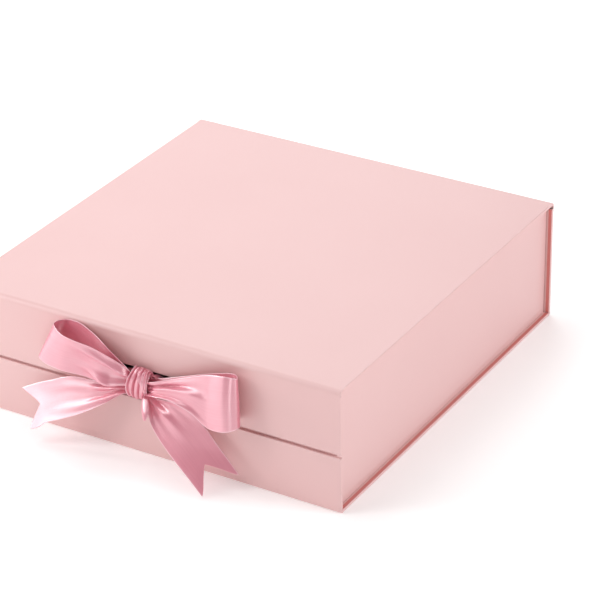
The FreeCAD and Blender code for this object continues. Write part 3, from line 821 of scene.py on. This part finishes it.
def wrap_stations(turns=14):
    """Stations once round the knot's upright oval, narrower at its top and bottom."""
    x, centre_out, centre_z = KNOT_CENTRE
    radius_out, radius_z = KNOT_RADII
    rows = []
    for i in range(turns + 1):
        angle = 2 * math.pi * i / turns - math.pi / 2
        out = centre_out + radius_out * math.sin(angle)
        rise = -math.cos(angle)
        z = centre_z + radius_z * rise
        middle = x + KNOT_LEAN * rise
        half = KNOT_HALF_WIDTH * (1 - KNOT_WAIST * rise ** 2)
        edges = (middle - half, out, z), (middle + half, out, z)
        rows.append((*edges, KNOT_BELLY, KNOT_PLEAT_DEPTH))
    return rows


knot = ribbon("bow_knot", wrap_stations(), length=0.056, rows=60, pleats=3.7, crumple=2.2, seed=3.0)
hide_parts("ribbon_knot")

# %% [markdown]
# ## The crossing fold
# A second edge of ribbon crosses the knot's upper right. Like the tuck, it is a short strip that
# lies over its neighbour, because a single grid can't lie over itself.

# %% Crossing fold
knot_cross = ribbon("bow_knot_cross", [
    ((-1, 3, 76), (8, 3, 75), 0.0, 0.2),
    ((1, 10, 75), (10, 8, 73), 0.8, 0.4),
    ((3, 13, 70), (10, 12, 68), 1.0, 0.5),
    ((6, 13, 63), (10, 13, 62), 0.6, 0.3),
    ((7, 11, 58), (9, 11, 58), 0.2, 0.1),
], length=0.024, columns=40, rows=20, pleats=2.0, crumple=0.5, seed=6.0)

# %% [markdown]
# ## The strap through the slot
# The ribbon holds on to the box by passing through the flap's slot, down behind the flap and out
# under its lower edge. Two short ends would leave it unsaid how the bow is held, so one strip runs
# that whole path, narrow where it is gathered and spread flat where it lies behind the flap.

# %% Strap
strap = ribbon("bow_strap", [
    ((-8, 5.5, 72), (14, 5.5, 72), 0.0, 0.9),
    ((-8, 1.5, 71), (14, 1.5, 71), 0.0, 0.5),
    ((-9, -1.2, 70.2), (15, -1.2, 70.2), 0.0, 0.3),
    ((-17, -2.72, 67), (18, -2.72, 67), 0.0, 0.0),
    ((-19, -2.74, 58), (19, -2.74, 58), 0.0, 0.0),
    ((-17, -2.72, 50), (17, -2.72, 50), 0.0, 0.0),
    ((-9, -1.2, 47.6), (12, -1.2, 47.6), 0.0, 0.0),
    ((-7, 1.5, 47.6), (11, 1.5, 47.6), 0.0, 0.0),
    ((-6, 6.5, 52), (10, 6.5, 52), 0.0, 0.9),
], length=0.041, columns=70, rows=24, pleats=3.0, thickness=0.2, crumple=0.0, seed=8.0)
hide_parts("ribbon_strap")

# %% [markdown]
# The bow is one ribbon, so each piece is measured against its own share of the flat length, and the
# ratio of its area to that flat area is printed. A tail loses the triangle that is cut from its end,
# which is the last factor. The tuck and the crossing fold are edges of the ribbon that show beside
# the knot, so only a narrow width is theirs, and their factor stands for the taper.

# %% Flat sizes
for piece, width, size, cut in (
    (loop_left, RIBBON_WIDTH, 0.162, 1), (loop_right, RIBBON_WIDTH, 0.174, 1),
    (tail_left, RIBBON_WIDTH, 0.098, 0.91), (tail_right, RIBBON_WIDTH, 0.087, 0.89),
    (knot, RIBBON_WIDTH, 0.056, 1), (strap, RIBBON_WIDTH, 0.041, 1),
    (tuck, 0.010, 0.020, 0.8), (knot_cross, 0.010, 0.024, 0.9),
):
    shown = sum(face.area for face in piece.data.polygons) / 2
    print(piece.name, "area over flat area", round(shown / (width * size * cut), 2))

# %% [markdown]
# ## The floor
# The box stands on a plain white table. White paint alone renders grey in soft light, so the floor
# also glows faintly, which keeps it pale round the box and the shadows soft.

# %% Floor
FLOOR_SIZE = 12
FLOOR_WHITE = (0.93, 0.93, 0.93)
FLOOR_GLOW = 0.22
bpy.ops.object.select_all(action="DESELECT")
bpy.ops.mesh.primitive_plane_add(size=FLOOR_SIZE, location=(0, 0, 0))
floor = bpy.context.object
floor.name = "floor"
floor_material, floor_tree, floor_shader = new_material("studio_floor", FLOOR_WHITE, 0.7)
floor_shader.inputs["Emission Color"].default_value = (1, 1, 1, 1)
floor_shader.inputs["Emission Strength"].default_value = FLOOR_GLOW
floor.data.materials.append(floor_material)
print("floor", FLOOR_SIZE, "m square")

# %% [markdown]
# ## The sky
# A pale sky fills the shadows. Its light is kept low so that the lamps still shape the satin, but
# the background has to stay white. So the sky is brighter where the camera sees it than where it
# lights the box.

# %% Sky
SKY_LIGHT = 0.34
SKY_SEEN = 0.95
world = bpy.context.scene.world or bpy.data.worlds.new("studio")
bpy.context.scene.world = world
world.use_nodes = True
sky = world.node_tree.nodes["Background"]
sky.inputs["Color"].default_value = (1.0, 0.99, 0.99, 1)
rays = add_node(world.node_tree, "ShaderNodeLightPath")
sky_strength = add_node(world.node_tree, "ShaderNodeMapRange")
sky_strength.inputs["To Min"].default_value = SKY_LIGHT
sky_strength.inputs["To Max"].default_value = SKY_SEEN
join(world.node_tree, rays.outputs["Is Camera Ray"], sky_strength.inputs["Value"])
join(world.node_tree, sky_strength.outputs["Result"], sky.inputs["Strength"])
print("sky lights at", SKY_LIGHT, "and shows at", SKY_SEEN)


# %% [markdown]
# ## The lamps
# Soft boxes stand all round the table. Satin shines only where its threads reflect a lamp, so
# the key, left and high lamps make its bands. The back and overhead lamps light the lid and its
# front edge, and the front and right lamps the two sides.

# %% Lamps
def lamp(name, place, target, size, power):
    """A rectangular soft box that faces its target; the power is in watts."""
    data = bpy.data.lights.new(name, "AREA")
    data.shape = "RECTANGLE"
    data.size, data.size_y = size
    data.energy = power
    light = bpy.data.objects.new(name, data)
    bpy.context.scene.collection.objects.link(light)
    light.location = place
    light.rotation_euler = (Vector(target) - Vector(place)).to_track_quat("-Z", "Y").to_euler()
    print(name, power, "W")


lamp("key", (-0.92, -0.95, 0.72), (-0.03, -0.15, 0.05), (0.45, 0.7), 5)
lamp("back", (-0.85, 1.35, 0.95), (0, 0, 0.05), (1.1, 0.8), 7)
lamp("overhead", (-0.45, 0.35, 1.75), (0, 0, 0.05), (0.9, 0.9), 7.5)
lamp("high", (-0.55, -0.8, 1.35), (0, -0.1, 0.05), (0.5, 0.4), 3)
lamp("front", (1.25, -1.75, 0.55), (0, -0.05, 0.05), (0.35, 0.8), 4.2)
lamp("right", (1.5, 0.25, 0.8), (0.1, 0, 0.05), (0.7, 0.7), 9.8)
lamp("left", (-1.36, -0.42, 0.57), (-0.1, -0.15, 0.05), (0.25, 0.7), 7.5)

# %% [markdown]
# ## The camera
# A long lens from the front right looks down on the box, a little tilted. Its matrix is built
# from the three directions it sees as right, up and ahead, because that keeps the small roll
# apart from the turn and the tilt.

# %% Camera
CAMERA_PLACE = (0.9657, -1.5503, 1.0398)
FOCAL_LENGTH = 161.9
SENSOR_WIDTH = 36
yaw, pitch, roll = math.radians(31.094), math.radians(28.475), -0.0168
ahead = Vector((-math.sin(yaw) * math.cos(pitch), math.cos(yaw) * math.cos(pitch), -math.sin(pitch)))
level = Vector((math.cos(yaw), math.sin(yaw), 0))
above = level.cross(ahead)
right = level * math.cos(roll) + above * math.sin(roll)
up = above * math.cos(roll) - level * math.sin(roll)
camera_data = bpy.data.cameras.new("camera")
camera_data.lens = FOCAL_LENGTH
camera_data.sensor_width = SENSOR_WIDTH
camera = bpy.data.objects.new("camera", camera_data)
bpy.context.scene.collection.objects.link(camera)
turn = Matrix((right, up, -ahead)).transposed().to_4x4()
camera.matrix_world = Matrix.Translation(CAMERA_PLACE) @ turn
bpy.context.scene.camera = camera
bpy.context.scene.view_settings.view_transform = "Standard"
print("camera at", CAMERA_PLACE)
